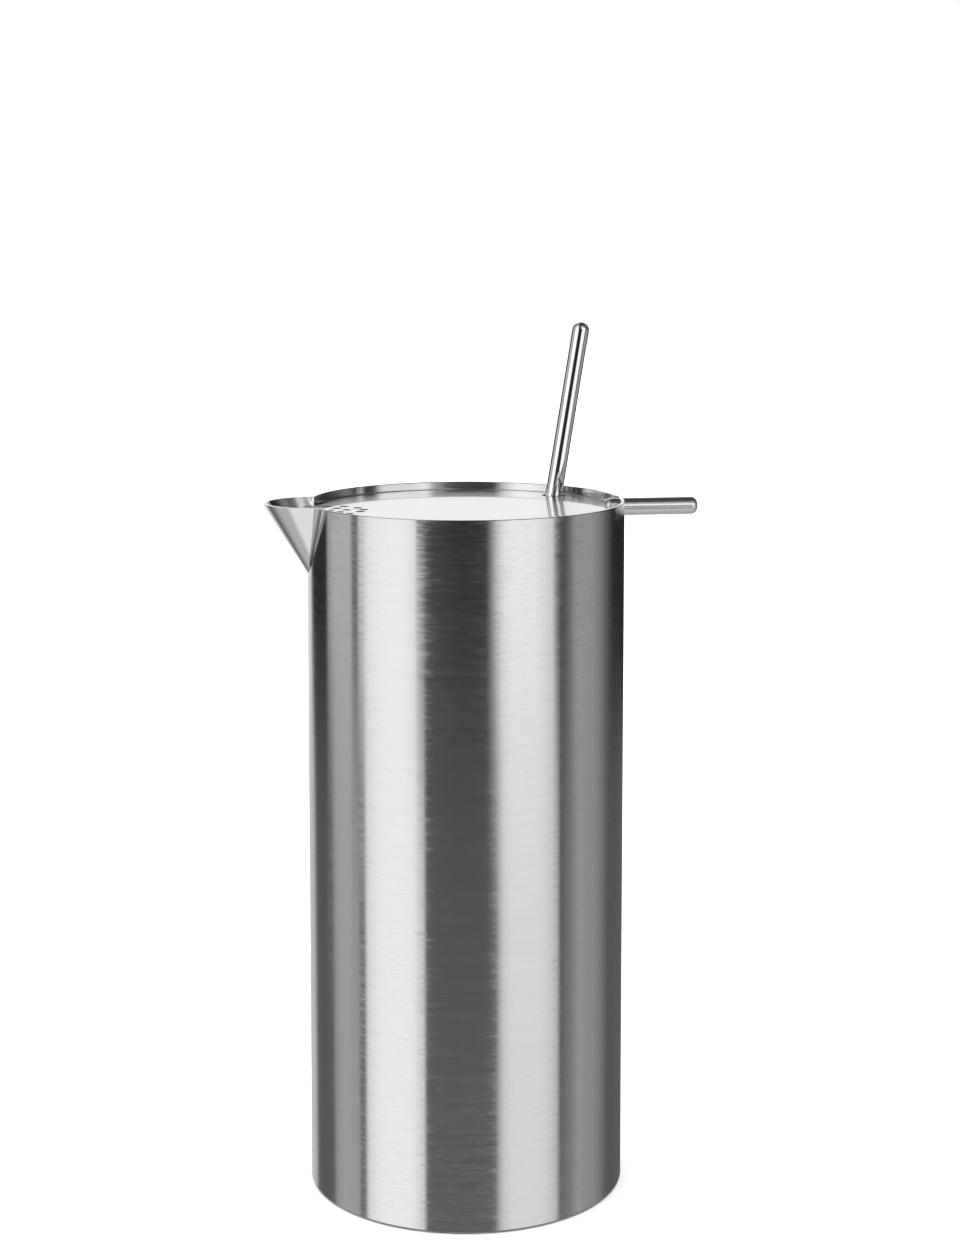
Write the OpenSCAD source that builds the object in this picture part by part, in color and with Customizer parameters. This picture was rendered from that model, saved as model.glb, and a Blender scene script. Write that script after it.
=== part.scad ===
// Cocktail pitcher: a straight steel jug with a conical pouring spout brazed to its wall,
// a sunk strainer lid with a peg that lies in a notch of the rim, and a mixing spoon
// that leans out through a hole in the lid.
// Origin at the middle of the foot, +Z up, the spout towards -X and the peg towards +X.

/* [Jug] */
// Outside diameter of the jug
jug_d = 90; // [84:1:100]
// Height of the rim above the table
jug_h = 197.4; // [180:0.2:220]
// Thickness of the jug's wall
wall_t = 1; // [0.8:0.1:1.4]
// Bevel round the outside of the foot
foot_bevel = 0.5; // [0.3:0.1:0.7]
// Bevel on both edges of the rim
rim_bevel = 0.15; // [0.1:0.05:0.3]

/* [Base pan] */
// Thickness of the base pan's sheet
pan_t = 1.5; // [1:0.1:2]
// Height of the pan's upturned edge
pan_h = 7; // [5:0.5:10]
// Inside radius of the pan's bend
pan_bend_r = 2.5; // [1.5:0.5:4]

/* [Spout] */
// How far the lip stands out from the jug's wall
lip_reach = 12.5; // [10:0.5:15]
// Height of the spout from its point to the rim
spout_h = 20.2; // [18:0.2:24]
// Length of the spout's round mouth, whose back lies inside the jug
mouth_l = 29; // [28:0.2:30]
// Thickness of the spout's sheet
spout_t = 1; // [0.8:0.1:1.2]
// How far inside the jug's wall the sides of the spout would come to a point
point_sink = 10; // [8:0.5:11]
// Radius of the brazed seam's fillet at the rim
seam_r = 2.5; // [1.5:0.1:3]
// Radius of the seam's fillet at the foot of the spout
seam_foot_r = 1.5; // [1:0.1:2]

/* [Seat ring] */
// Width of the ring that the lid rests on
ring_w = 1.6; // [1.4:0.1:2.4]
// Thickness of the seat ring
ring_t = 1.2; // [0.8:0.1:2]

/* [Strainer lid] */
// Depth of the lid's face below the rim
lid_drop = 2.3; // [2:0.1:4]
// Thickness of the lid's sheet
lid_t = 1; // [0.8:0.1:1.2]
// Gap between the lid and the jug
lid_gap = 0.4; // [0.3:0.05:0.6]
// Depth of the lid's turned-down edge below its sheet
lid_edge_h = 5; // [4.5:0.5:8]
// Outside radius of the lid's bend
lid_bend_r = 1.3; // [1.3:0.1:2]
// How far the lid's tongue reaches past the jug's wall into the spout
tongue_reach = 1.4; // [1.4:0.1:3]
// Diameter of a strainer hole
strainer_hole_d = 2.7; // [2:0.1:3.2]
// Distance between strainer holes along a row that points at the spout
strainer_pitch = 4.8; // [4.5:0.1:5.2]
// Distance between two such rows
strainer_row_step = 4.1; // [4:0.1:4.5]
// Distance of the middle row's first hole from the wall's inside
strainer_inset = 5.3; // [5:0.1:6]

/* [Peg] */
// Diameter of the peg
peg_d = 5; // [4:0.1:6]
// How far the peg stands out from the jug's wall
peg_reach = 22.2; // [16:0.2:30]
// How far the peg reaches in past the wall's inside
peg_inset = 4; // [3:0.5:8]
// Rounding of the peg's ends
peg_round = 1.9; // [1:0.1:1.9]
// Gap between the peg and the notch in the rim
notch_gap = 0.3; // [0.2:0.05:0.5]

/* [Mixing spoon] */
// Diameter of the spoon's stem
stem_d = 5; // [4:0.1:5.4]
// Height of the stem's top above the rim
stem_rise = 48.8; // [30:0.2:80]
// Lean of the spoon from upright, towards the peg
stem_lean = 9.15; // [7:0.05:10]
// Rounding of the stem's top
stem_round = 2.3; // [1:0.1:2.3]
// Diameter of the spoon's hole in the lid
spoon_hole_d = 6.4; // [6.2:0.1:7]
// Distance of the spoon's hole from the wall's inside
spoon_hole_inset = 5.2; // [5.1:0.1:8]
// Turn of the spoon's hole about the jug, from the peg
spoon_hole_turn = 40.5; // [30:0.5:60]
// How far the stem stands off the middle of its hole, towards the peg
stem_shift = 0.27; // [0:0.01:0.3]
// Length of the spoon's bowl
bowl_l = 36; // [35:1:40]
// Width of the spoon's bowl
bowl_w = 22; // [18:1:22]
// Depth of the spoon's bowl on its outside
bowl_depth = 5; // [4:0.5:6]
// Thickness of the bowl
bowl_t = 1; // [0.8:0.1:1.5]
// Length of the neck between the bowl and the stem
neck_l = 8; // [5:1:15]
// How much wider than the stem the neck is where it meets the bowl
neck_flare = 0.8; // [0.4:0.1:1.2]
// Gap between the bowl and the jug's floor
bowl_gap = 0.3; // [0.3:0.1:1]

/* [Hidden] */
$fn = 96;

// Cuts run past the faces that they open
cut_over = 1;

// Colours of the brushed and the polished steel
brushed_steel = [0.72, 0.72, 0.73];
polished_steel = [0.86, 0.86, 0.87];

jug_r = jug_d / 2;
bore_r = jug_r - wall_t;

// The spout is a round cone that leans: its lip, its back and its point fix the lean and the angle.
// Its front line leaves the wall at the foot of the spout and ends at the cone's point inside the jug.
lip_x = -(jug_r + lip_reach);
mouth_back_x = lip_x + mouth_l;
front_angle = atan(lip_reach / spout_h);
cone_h = (lip_reach + point_sink) / tan(front_angle);
point_x = point_sink - jug_r;
point_z = jug_h - cone_h;
back_angle = atan((mouth_back_x - point_x) / cone_h);
spout_lean = (back_angle - front_angle) / 2;
spout_half_angle = (back_angle + front_angle) / 2;
cone_l = (cone_h + cut_over) * cos(spout_half_angle) / cos(max(front_angle, back_angle));

// Level cuts of the cone: half width, half length and place of the middle, for each millimetre above the point
level_width_share = sin(spout_half_angle)
                    / sqrt(pow(cos(spout_half_angle), 2) - pow(sin(spout_lean), 2));
level_length_share = (tan(back_angle) + tan(front_angle)) / 2;
level_middle_share = (tan(back_angle) - tan(front_angle)) / 2;

lid_r = bore_r - lid_gap;
lid_z = jug_h - lid_drop;
lid_edge_z = lid_z - lid_t - lid_edge_h;
tongue_r = jug_r + tongue_reach;
tongue_w = 2 * level_width_share * (cone_h - lid_drop);

// Strainer holes as shares of the pitch and of the row step, mirrored across the spout's middle
strainer_middle_shares = [0, 1, 2];
strainer_side_shares = [[-0.53, 1], [0.5, 1], [1.72, 1], [-1.06, 1.66], [0, 2], [1, 1.93]];
strainer_x = -(bore_r - strainer_inset);

peg_r = peg_d / 2;
peg_z = lid_z - lid_t / 2;
peg_start = bore_r - peg_inset;
peg_end = jug_r + peg_reach;
notch_r = peg_r + notch_gap;

// The spoon's own frame stands in the middle of the bowl, with +Z along the stem
stem_r = stem_d / 2;
spoon_hole_r = bore_r - spoon_hole_inset;
spoon_hole_x = spoon_hole_r * cos(spoon_hole_turn);
spoon_hole_y = spoon_hole_r * sin(spoon_hole_turn);
bowl_reach_down = sqrt(pow(bowl_l / 2 * cos(stem_lean), 2) + pow(bowl_w / 2 * sin(stem_lean), 2));
bowl_z = pan_t + bowl_gap + bowl_reach_down;
bowl_x = spoon_hole_x + stem_shift - (lid_z - bowl_z) * tan(stem_lean);
neck_end = bowl_l / 2 + neck_l;
stem_top = (jug_h + stem_rise - bowl_z) / cos(stem_lean);

// The bowl is cut from a ring whose two curvatures give its length and its width
across_r = (pow(bowl_w / 2, 2) + pow(bowl_depth, 2)) / (2 * bowl_depth);
along_r = (pow(bowl_l / 2, 2) + pow(bowl_depth, 2)) / (2 * bowl_depth);
neck_r = stem_r + neck_flare;
neck_start = sqrt(pow(along_r, 2) - pow(along_r - bowl_depth + neck_r, 2));

// The cone of the spout, with its sides drawn in by an inset
module spout_cone(inset) {
    translate([point_x, 0, point_z])
        rotate([0, spout_lean, 0])
            translate([0, 0, inset / sin(spout_half_angle)])
                cylinder(h = cone_l, r1 = 0, r2 = cone_l * tan(spout_half_angle));
}

// A rod along +Z with rounded edges at its start and its end
module rod(length, r, start_round, end_round) {
    rotate_extrude()
        intersection() {
            square([r, length]);
            union() {
                translate([0, start_round])
                    square([r, length - start_round - end_round]);
                end_edge(r, start_round, start_round);
                end_edge(r, end_round, length - end_round);
            }
        }
}

// Section of one rounded edge of a rod, with its flat end
module end_edge(r, round_r, height) {
    if (round_r > 0) {
        translate([r - round_r, height])
            circle(round_r);
        translate([0, height - round_r])
            square([r - round_r, 2 * round_r]);
    }
}

// The straight wall, cut open where the spout pours and notched where the peg lies
module body_wall() {
    color(brushed_steel)
        difference() {
            rotate_extrude()
                polygon([[bore_r, 0], [jug_r - foot_bevel, 0], [jug_r, foot_bevel],
                         [jug_r, jug_h - rim_bevel], [jug_r - rim_bevel, jug_h],
                         [bore_r + rim_bevel, jug_h], [bore_r, jug_h - rim_bevel]]);
            spout_cone(spout_t);
            peg_notch();
        }
}

// A notch with a round bottom, open at the rim
module peg_notch() {
    translate([bore_r - cut_over, 0, peg_z])
        rotate([0, 90, 0])
            cylinder(h = wall_t + 2 * cut_over, r = notch_r);
    translate([bore_r - cut_over, -notch_r, peg_z])
        cube([wall_t + 2 * cut_over, 2 * notch_r, jug_h - peg_z + cut_over]);
}

// A pressed pan inside the wall's foot: a flat floor with a bend and an upturned edge
module base_pan() {
    color(brushed_steel)
        rotate_extrude()
            difference() {
                square([bore_r, pan_h]);
                translate([0, pan_t + pan_bend_r])
                    square([bore_r - pan_t, pan_h]);
                translate([0, pan_t])
                    square([bore_r - pan_t - pan_bend_r, pan_h]);
                translate([bore_r - pan_t - pan_bend_r, pan_t + pan_bend_r])
                    circle(pan_bend_r);
            }
}

// The open half cone outside the wall, level with the rim
module spout() {
    color(brushed_steel)
        difference() {
            spout_cone(0);
            spout_cone(spout_t);
            cylinder(h = jug_h + cone_l, r = jug_r);
            translate([lip_x - cone_l, -cone_l, jug_h])
                cube([2 * cone_l, 2 * cone_l, 2 * cone_l]);
        }
}

// The brazed seam: at each level its outline is a fillet between the wall's circle and the spout's.
// The spout's level cut is a slightly long oval, so its circle takes the oval's radius towards the seam.
SEAM_LEVELS = 14;
SEAM_ARC_STEPS = 5;

// The seam's levels are even steps of the root of their height, and its foot is at this root
seam_first_root = 0.4;

// The seam's facets stand this far off the round sheets, so that none of them cuts in
seam_gap = 0.05;

// Where two circles cross: one about the origin, the other about a point on the X axis
function crossing(middle_x, r_origin, r_other) =
    let (x = (r_origin * r_origin - r_other * r_other + middle_x * middle_x) / (2 * middle_x))
    [x, sqrt(r_origin * r_origin - x * x)];

// The point of a circle that lies towards another point
function towards(middle, r, point) = middle + r * (point - middle) / norm(point - middle);

// Outline at one level, from the corner of the two circles round the fillet and back
function seam_level(share) =
    let (
        rise = cone_h - (1 - share) * spout_h,
        middle = [point_x + level_middle_share * rise, 0],
        wall_r = jug_r + seam_gap,
        narrow_r = level_width_share * rise,
        stretch = level_length_share * rise - narrow_r,
        ahead = (crossing(middle.x, wall_r, narrow_r + seam_gap).x - middle.x) / narrow_r,
        spout_r = narrow_r + stretch * ahead * ahead + seam_gap,
        fillet_r = seam_foot_r + (seam_r - seam_foot_r) * pow(share, 3),
        corner = crossing(middle.x, wall_r, spout_r),
        centre = crossing(middle.x, wall_r + fillet_r, spout_r + fillet_r),
        wall_end = towards([0, 0], wall_r, centre),
        spout_end = towards(middle, spout_r, centre),
        wall_angle = atan2(wall_end.y - centre.y, wall_end.x - centre.x),
        spout_angle = atan2(spout_end.y - centre.y, spout_end.x - centre.x)
    )
    concat(
        [corner, towards([0, 0], wall_r, corner + wall_end)],
        [for (i = [0:SEAM_ARC_STEPS])
            let (a = wall_angle + (spout_angle - wall_angle) * i / SEAM_ARC_STEPS)
            centre + fillet_r * [cos(a), sin(a)]],
        [towards(middle, spout_r, (corner + spout_end) / 2)]);

// Faces that join rings of points, with a cap at each end
function ring_faces(rings, around) = concat(
    [[for (i = [0:around - 1]) i]],
    [for (k = [0:rings - 2]) for (i = [0:around - 1])
        let (a = k * around + i, b = k * around + (i + 1) % around)
        for (face = [[a, a + around, b], [b, a + around, b + around]]) face],
    [[for (i = [around - 1:-1:0]) (rings - 1) * around + i]]);

module seam_side() {
    shares = [for (k = [0:SEAM_LEVELS]) pow(seam_first_root + (1 - seam_first_root) * k / SEAM_LEVELS, 2)];
    points = [for (share = shares) for (p = seam_level(share)) [p.x, p.y, jug_h - (1 - share) * spout_h]];
    polyhedron(points = points, faces = ring_faces(len(shares), SEAM_ARC_STEPS + 4));
}

module spout_seam() {
    color(brushed_steel) {
        seam_side();
        mirror([0, 1, 0])
            seam_side();
    }
}

// A flat ring brazed inside the wall, open at the spout
module seat_ring() {
    color(brushed_steel)
        difference() {
            translate([0, 0, lid_edge_z - ring_t])
                cylinder(h = ring_t, r = bore_r);
            translate([0, 0, lid_edge_z - ring_t - cut_over])
                cylinder(h = ring_t + 2 * cut_over, r = bore_r - ring_w);
            spout_cone(spout_t);
        }
}

// Section of the pressed lid: a flat sheet that bends down at its edge
module lid_section() {
    bend_x = lid_r - lid_bend_r;
    bend_z = lid_z - lid_bend_r;
    translate([0, lid_z - lid_t])
        square([bend_x, lid_t]);
    translate([lid_r - lid_t, lid_edge_z])
        square([lid_t, bend_z - lid_edge_z]);
    intersection() {
        translate([bend_x, bend_z])
            difference() {
                circle(lid_bend_r);
                circle(lid_bend_r - lid_t);
            }
        translate([bend_x, bend_z])
            square(lid_bend_r);
    }
}

// The tongue of the lid, shaped to the inside of the spout
module lid_tongue() {
    intersection() {
        translate([0, 0, lid_z - lid_t])
            cylinder(h = lid_t, r = tongue_r);
        spout_cone(spout_t + lid_gap);
    }
}

module strainer_hole(x, y) {
    translate([x, y, lid_z - lid_t - cut_over])
        cylinder(h = lid_t + 2 * cut_over, r = strainer_hole_d / 2, $fn = 32);
}

module strainer_holes() {
    for (share = strainer_middle_shares)
        strainer_hole(strainer_x + share * strainer_pitch, 0);
    for (shares = strainer_side_shares)
        for (side = [-1, 1])
            strainer_hole(strainer_x + shares[0] * strainer_pitch, side * shares[1] * strainer_row_step);
}

// The pressed lid, with its edge cut away below the tongue, its holes and the peg's seat
module strainer_lid() {
    color(polished_steel)
        difference() {
            union() {
                difference() {
                    rotate_extrude()
                        lid_section();
                    translate([-lid_r - cut_over, -tongue_w / 2, lid_edge_z - cut_over])
                        cube([lid_r / 2, tongue_w, lid_edge_h + cut_over]);
                }
                lid_tongue();
            }
            strainer_holes();
            translate([spoon_hole_x, spoon_hole_y, lid_z - lid_t - cut_over])
                cylinder(h = lid_t + 2 * cut_over, r = spoon_hole_d / 2);
            lid_peg();
        }
}

// The peg, brazed in the lid's edge and lying in the notch of the rim
module lid_peg() {
    color(polished_steel)
        translate([peg_start, 0, peg_z])
            rotate([0, 90, 0])
                rod(peg_end - peg_start, peg_r, peg_round, peg_round);
}

// Places what is drawn in the spoon's own frame
module in_spoon_frame() {
    translate([bowl_x, spoon_hole_y, bowl_z])
        rotate([0, stem_lean, 0])
            children();
}

// The round stem, from the bowl's neck to its rounded top
module spoon_stem() {
    color(polished_steel)
        in_spoon_frame()
            translate([0, 0, neck_end])
                rod(stem_top - neck_end, stem_r, 0, stem_round);
}

// The ring that the bowl is cut from, with its tube drawn in by an inset
module bowl_ring(inset) {
    translate([0, along_r - bowl_depth, 0])
        rotate([0, 90, 0])
            rotate_extrude()
                intersection() {
                    translate([along_r - across_r, 0])
                        circle(across_r - inset);
                    translate([0, -across_r])
                        square([along_r, 2 * across_r]);
                }
}

// A dished oval with a neck that takes the stem, its hollow towards the jug's middle
module spoon_bowl() {
    color(polished_steel)
        in_spoon_frame()
            mirror([0, 1, 0])
                difference() {
                    union() {
                        intersection() {
                            bowl_ring(0);
                            translate([-bowl_w, -bowl_w, -bowl_l])
                                cube([2 * bowl_w, bowl_w, 2 * bowl_l]);
                        }
                        translate([0, 0, neck_start])
                            cylinder(h = neck_end - neck_start, r1 = neck_r, r2 = stem_r);
                    }
                    bowl_ring(bowl_t);
                }
}

body_wall();
base_pan();
spout();
spout_seam();
seat_ring();
strainer_lid();
lid_peg();
spoon_stem();
spoon_bowl();
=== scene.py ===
"""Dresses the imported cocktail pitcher: a brushed steel jug, its strainer lid and its mixing spoon.

Each sub-assembly is a class that holds its sizes in millimetres and builds its own pieces
in the frame's metres. The finishes, the studio and the camera are small classes of their own.
"""

import logging
import math
from dataclasses import dataclass
from enum import Enum
from typing import Any, Sequence

import bmesh
import bpy
from mathutils import Matrix, Vector


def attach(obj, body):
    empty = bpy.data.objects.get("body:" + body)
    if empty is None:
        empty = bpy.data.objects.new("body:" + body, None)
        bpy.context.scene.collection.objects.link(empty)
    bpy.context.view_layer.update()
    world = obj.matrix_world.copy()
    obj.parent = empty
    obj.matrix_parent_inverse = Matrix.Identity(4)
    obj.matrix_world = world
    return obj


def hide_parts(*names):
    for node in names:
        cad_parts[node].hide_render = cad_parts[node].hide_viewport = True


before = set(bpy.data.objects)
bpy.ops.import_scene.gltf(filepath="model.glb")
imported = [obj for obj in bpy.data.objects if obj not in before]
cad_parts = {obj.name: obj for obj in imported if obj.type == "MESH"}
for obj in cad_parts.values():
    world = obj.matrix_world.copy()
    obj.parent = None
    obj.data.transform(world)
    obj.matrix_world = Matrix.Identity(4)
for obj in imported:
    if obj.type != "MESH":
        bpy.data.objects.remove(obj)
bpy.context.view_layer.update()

# Lengths are in millimetres and angles in degrees, unless a comment says otherwise. A tool reaches past what
# it cuts by CLEAR, and by FAR or twice that where it takes all that there is.
MM = 0.001
CLEAR = 1.0
FAR = 60.0
ROUND_STEPS = 384
CUTTER_STEPS = 256
ROD_STEPS = 96
END_STEPS = 16
BEND_STEPS = 12
SOFT_SEGMENTS = 3
SOFT_ANGLE = 32.0
SHARP_ANGLE = 40.0
WELD_BEFORE = 0.005
WELD_AFTER = 0.0002
ROUND_SLIP = 0.03
TURNING_MAP = "turning"
TURNING_PITCH = 4.0

UPRIGHT = Matrix.Identity(4)
Point = tuple[float, float]
LOG = logging.getLogger("pitcher")


class Body(Enum):
    """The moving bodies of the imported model."""

    JUG = "jug"
    LID = "lid"
    SPOON = "spoon"


class Slot(Enum):
    """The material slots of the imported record."""

    BRUSHED = "brushed_steel"
    SATIN = "satin_steel"
    POLISHED = "polished_steel"


class Cut(Enum):
    """What a tool does to the blank that it is applied to."""

    TAKE = "DIFFERENCE"
    ADD = "UNION"
    KEEP = "INTERSECT"


# Shapes


def arc(centre: Point, radius: float, start: float, end: float, steps: int) -> list[Point]:
    """Gives the points of an arc of a section, as radius and height, with a number of steps as chords."""
    angles = [math.radians(start + (end - start) * i / steps) for i in range(steps + 1)]
    return [(centre[0] + radius * math.cos(a), centre[1] + radius * math.sin(a)) for a in angles]


def turned(section: Sequence[Point], closed: bool, steps: int = ROUND_STEPS) -> bmesh.types.BMesh:
    """Spins a section about the Z axis.

    Args:
        section: Points as radius and height.
        closed: Whether the last point joins the first. An open section starts and ends on the axis.
        steps: Number of steps of the full turn.

    Returns:
        The closed shell of the turned shape, in metres.
    """
    bm = bmesh.new()
    points = [bm.verts.new((radius * MM, 0.0, height * MM)) for radius, height in section]
    pairs = list(zip(points, points[1:])) + ([(points[-1], points[0])] if closed else [])
    edges = [bm.edges.new(pair) for pair in pairs]
    bmesh.ops.spin(bm, geom=points + edges, cent=(0, 0, 0), axis=(0, 0, 1), angle=2 * math.pi,
                   steps=steps, use_merge=True)
    bmesh.ops.remove_doubles(bm, verts=bm.verts[:], dist=1e-7)
    bmesh.ops.recalc_face_normals(bm, faces=bm.faces[:])
    return bm


def rod(length: float, radius: float, start_round: float, end_round: float,
        steps: int = ROD_STEPS) -> bmesh.types.BMesh:
    """Turns a rod with rounded ends.

    Args:
        length: Length of the rod.
        radius: Radius of the rod.
        start_round: Rounding of the end at the origin, zero for a sharp one.
        end_round: Rounding of the far end.
        steps: Number of steps of the turn.

    Returns:
        The rod along +Z, in metres.
    """
    start: list[Point] = [(radius, 0)]
    if start_round:
        start = arc((radius - start_round, start_round), start_round, -90, 0, END_STEPS)
    end = arc((radius - end_round, length - end_round), end_round, 0, 90, END_STEPS)
    return turned([(0, 0), *start, *end, (0, length)], False, steps)


def disc(radius: float, low: float, high: float, steps: int = ROUND_STEPS) -> bmesh.types.BMesh:
    """Turns a plain disc or post about the Z axis, between two heights."""
    return turned([(0, low), (radius, low), (radius, high), (0, high)], False, steps)


def lying(x: float, z: float) -> Matrix:
    """Gives the frame at a place to the jug's right, with +Z outwards along X."""
    return Matrix.Translation(Vector((x, 0, z)) * MM) @ Matrix.Rotation(math.pi / 2, 4, "Y")


def block(low: Sequence[float], high: Sequence[float]) -> bmesh.types.BMesh:
    """Makes a rectangular cutter.

    Args:
        low: Lowest corner.
        high: Highest corner.

    Returns:
        The block, in metres.
    """
    bm = bmesh.new()
    bmesh.ops.create_cube(bm, size=1.0)
    size = [(b - a) * MM for a, b in zip(low, high)]
    middle = [(a + b) / 2 * MM for a, b in zip(low, high)]
    bmesh.ops.scale(bm, vec=size, verts=bm.verts[:])
    bmesh.ops.translate(bm, vec=middle, verts=bm.verts[:])
    return bm


class Blank:
    """A piece on the bench, which tools shape before it is dressed."""

    def __init__(self, name: str, bm: bmesh.types.BMesh, place: Matrix = UPRIGHT) -> None:
        """Puts a shape on the bench.

        Args:
            name: Name of the piece.
            bm: Its shape in metres. It is used up.
            place: Where the shape goes in the frame. Left out, it stays where it is.
        """
        bm.transform(place)
        mesh = bpy.data.meshes.new(name)
        bm.to_mesh(mesh)
        bm.free()
        self.piece = bpy.data.objects.new(name, mesh)
        self.to_axis = UPRIGHT
        bpy.context.scene.collection.objects.link(self.piece)

    def apply(self, kind: str, **settings: Any) -> None:
        """Applies one modifier to the mesh.

        Args:
            kind: Type of the modifier.
            **settings: Its settings by name.
        """
        modifier = self.piece.modifiers.new(kind.title(), kind)
        for name, value in settings.items():
            setattr(modifier, name, value)
        shaped = self.piece.evaluated_get(bpy.context.evaluated_depsgraph_get())
        old, new = self.piece.data, bpy.data.meshes.new_from_object(shaped)
        self.piece.modifiers.clear()
        self.piece.data = new
        bpy.data.meshes.remove(old)

    def cut(self, how: Cut, tool: "Blank") -> "Blank":
        """Takes a tool's shape away, adds it or keeps what both share, and uses the tool up.

        Args:
            how: What the tool does.
            tool: The other shape.

        Returns:
            This blank.
        """
        self.apply("BOOLEAN", operation=how.value, object=tool.piece, solver="MANIFOLD")
        bpy.data.objects.remove(tool.piece)
        return self

    def soften(self, width: float) -> "Blank":
        """Rounds the sharp edges, and joins the points that the cuts left almost in one place.

        Args:
            width: Width of the rounding.

        Returns:
            This blank.
        """
        self.apply("WELD", merge_threshold=WELD_BEFORE * MM)
        self.apply("BEVEL", width=width * MM, segments=SOFT_SEGMENTS, limit_method="ANGLE",
                   angle_limit=math.radians(SOFT_ANGLE), profile=0.5, use_clamp_overlap=True,
                   miter_outer="MITER_SHARP", offset_type="OFFSET")
        self.apply("WELD", merge_threshold=WELD_AFTER * MM)
        return self

    def finish(self, axis: Matrix = UPRIGHT) -> bpy.types.Object:
        """Smooths the piece and maps the way that it was turned.

        Args:
            axis: Frame whose Z axis the brushing runs round. Left out, it is the jug's own.

        Returns:
            The finished object.
        """
        mesh = self.piece.data
        mesh.name = self.piece.name
        mesh.shade_smooth()
        mesh.set_sharp_from_angle(angle=math.radians(SHARP_ANGLE))
        self.apply("WEIGHTED_NORMAL", mode="FACE_AREA", weight=50, keep_sharp=True)
        self.to_axis = axis.inverted()
        self._true_round()
        self._map_turning()
        return self.piece

    def _true_round(self) -> None:
        """Turns each corner's normal to where a truly round surface would face."""
        mesh = self.piece.data
        spin, back = self.to_axis.to_3x3(), self.to_axis.to_3x3().transposed()
        ways: list[Vector] = []
        for loop, corner in zip(mesh.loops, mesh.corner_normals):
            place = self.to_axis @ mesh.vertices[loop.vertex_index].co
            way = spin @ corner.vector
            round_way = Vector((-place.y, place.x, 0)).normalized()
            slip = way.dot(round_way)
            if abs(slip) < ROUND_SLIP:
                way = (way - slip * round_way).normalized()
            ways.append(back @ way)
        mesh.normals_split_custom_set(ways)

    def _map_turning(self) -> None:
        """Writes a map that runs round the axis across and along it upwards."""
        mesh = self.piece.data
        layer = mesh.uv_layers.new(name=TURNING_MAP)
        places = [self.to_axis @ vertex.co for vertex in mesh.vertices]
        for face in mesh.polygons:
            middle = self.to_axis @ face.center
            ahead = math.atan2(middle.y, middle.x)
            for loop in face.loop_indices:
                place = places[mesh.loops[loop].vertex_index]
                turn = math.remainder(math.atan2(place.y, place.x) - ahead, 2 * math.pi)
                along = (place.z + math.hypot(place.x, place.y)) / (TURNING_PITCH * MM)
                layer.data[loop].uv = (ahead + turn, along)


# Node trees


class Wiring:
    """Adds nodes to a tree and joins them."""

    def __init__(self, tree: bpy.types.NodeTree) -> None:
        """Starts on a tree, without what it holds."""
        self.tree = tree
        tree.nodes.clear()

    def add(self, kind: str, sockets: dict[Any, Any] | None = None, **settings: Any) -> bpy.types.Node:
        """Adds a node.

        Args:
            kind: Type of the node, without its leading ShaderNode.
            sockets: Values or output sockets for its inputs, by name or number.
            **settings: Its properties by name.

        Returns:
            The new node.
        """
        node = self.tree.nodes.new(kind if kind.startswith("Node") else "ShaderNode" + kind)
        for name, value in settings.items():
            setattr(node, name, value)
        for key, value in (sockets or {}).items():
            if isinstance(value, bpy.types.NodeSocket):
                self.tree.links.new(value, node.inputs[key])
            else:
                node.inputs[key].default_value = value
        return node

    def math(self, operation: str, *terms: Any) -> bpy.types.NodeSocket:
        """Works out one sum and returns its value socket."""
        return self.add("Math", dict(enumerate(terms)), operation=operation).outputs[0]

    def ramp(self, value: Any, low: float, high: float, start: float, end: float,
             smooth: bool = False) -> bpy.types.NodeSocket:
        """Maps a value from low to high onto start to end. A smooth one eases in and out."""
        kind = "SMOOTHSTEP" if smooth else "LINEAR"
        return self.add("MapRange", {0: value, 1: low, 2: high, 3: start, 4: end},
                        interpolation_type=kind).outputs[0]

    def ease(self, value: Any, none: float, full: float) -> bpy.types.NodeSocket:
        """Eases from 0 where the value is none to 1 where it is full, upwards or downwards."""
        return self.ramp(value, none, full, 0, 1, True)

    def blend(self, share: Any, first: Any, second: Any) -> bpy.types.NodeSocket:
        """Blends two values by a share."""
        return self.add("Mix", {0: share, 2: first, 3: second}, data_type="FLOAT").outputs[0]

    def times(self, first: Any, second: Any) -> bpy.types.NodeSocket:
        """Multiplies two values."""
        return self.math("MULTIPLY", first, second)

    def band(self, value: Any, low: float, high: float, low_feather: float,
             high_feather: float) -> bpy.types.NodeSocket:
        """Masks the values from low to high, with a feather to both sides of each end."""
        rise = self.ease(value, low - low_feather, low + low_feather)
        return self.times(rise, self.ease(value, high + high_feather, high - high_feather))

    def apart(self, value: Any, middle: float) -> bpy.types.NodeSocket:
        """Works out how far a value lies from a middle."""
        return self.math("ABSOLUTE", self.math("SUBTRACT", value, middle))

    def reach(self, x: Any, y: Any) -> bpy.types.NodeSocket:
        """Works out how far a place lies from the Z axis."""
        return self.math("SQRT", self.math("ADD", self.times(x, x), self.times(y, y)))


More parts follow.
